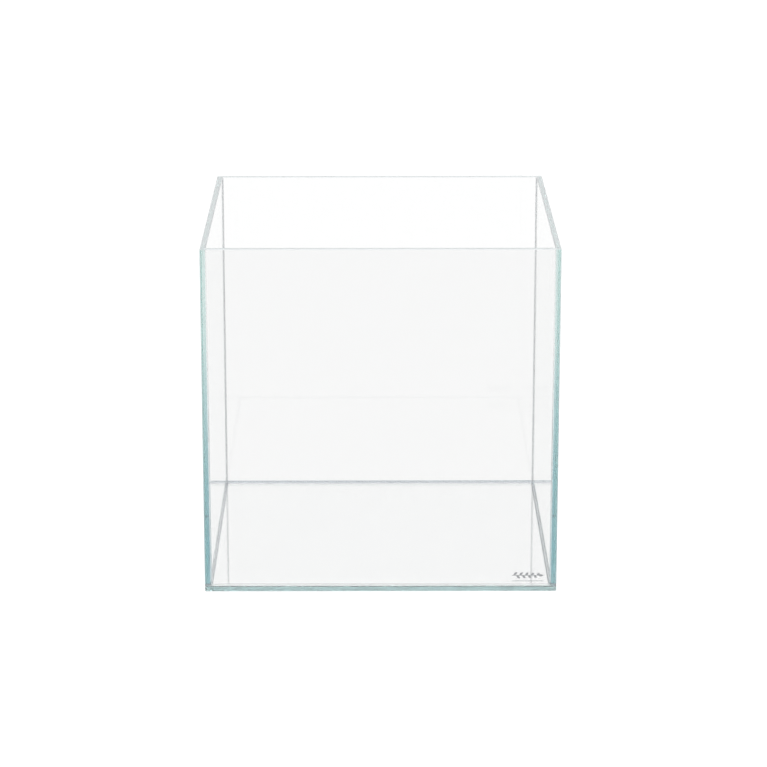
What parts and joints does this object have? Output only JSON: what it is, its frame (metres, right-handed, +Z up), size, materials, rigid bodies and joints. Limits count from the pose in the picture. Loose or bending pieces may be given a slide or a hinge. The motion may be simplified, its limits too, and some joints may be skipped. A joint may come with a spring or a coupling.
{
  "type": "glass aquarium tank",
  "caption": "Rimless open-topped cube of clear low-iron glass panes bonded with silicone, which holds water, planting and small fish on a stand or table.",
  "frame": {"origin": "centre of the underside of the floor pane, on the surface that the tank stands on", "axes": "+Z up, +X to the right and +Y to the back, with the marked front pane facing -Y"},
  "size_m": [0.3, 0.3001, 0.3],
  "materials": {
    "glass": "polished clear low-iron float glass with ground edges that look pale blue-green",
    "silicone": "translucent clear silicone with a smooth tooled surface",
    "print": "thin matt grey ink"
  },
  "bodies": {
    "root": {"floor_pane": "glass", "front_pane": "glass", "back_pane": "glass", "left_pane": "glass", "right_pane": "glass", "front_foot_bond": "silicone", "back_foot_bond": "silicone", "left_foot_bond": "silicone", "right_foot_bond": "silicone", "front_left_corner_bond": "silicone", "front_right_corner_bond": "silicone", "back_left_corner_bond": "silicone", "back_right_corner_bond": "silicone", "front_floor_bead": "silicone", "back_floor_bead": "silicone", "left_floor_bead": "silicone", "right_floor_bead": "silicone", "front_left_corner_bead": "silicone", "front_right_corner_bead": "silicone", "back_left_corner_bead": "silicone", "back_right_corner_bead": "silicone", "mark_sprig": "print", "mark_line": "print"}
  },
  "joints": []
}
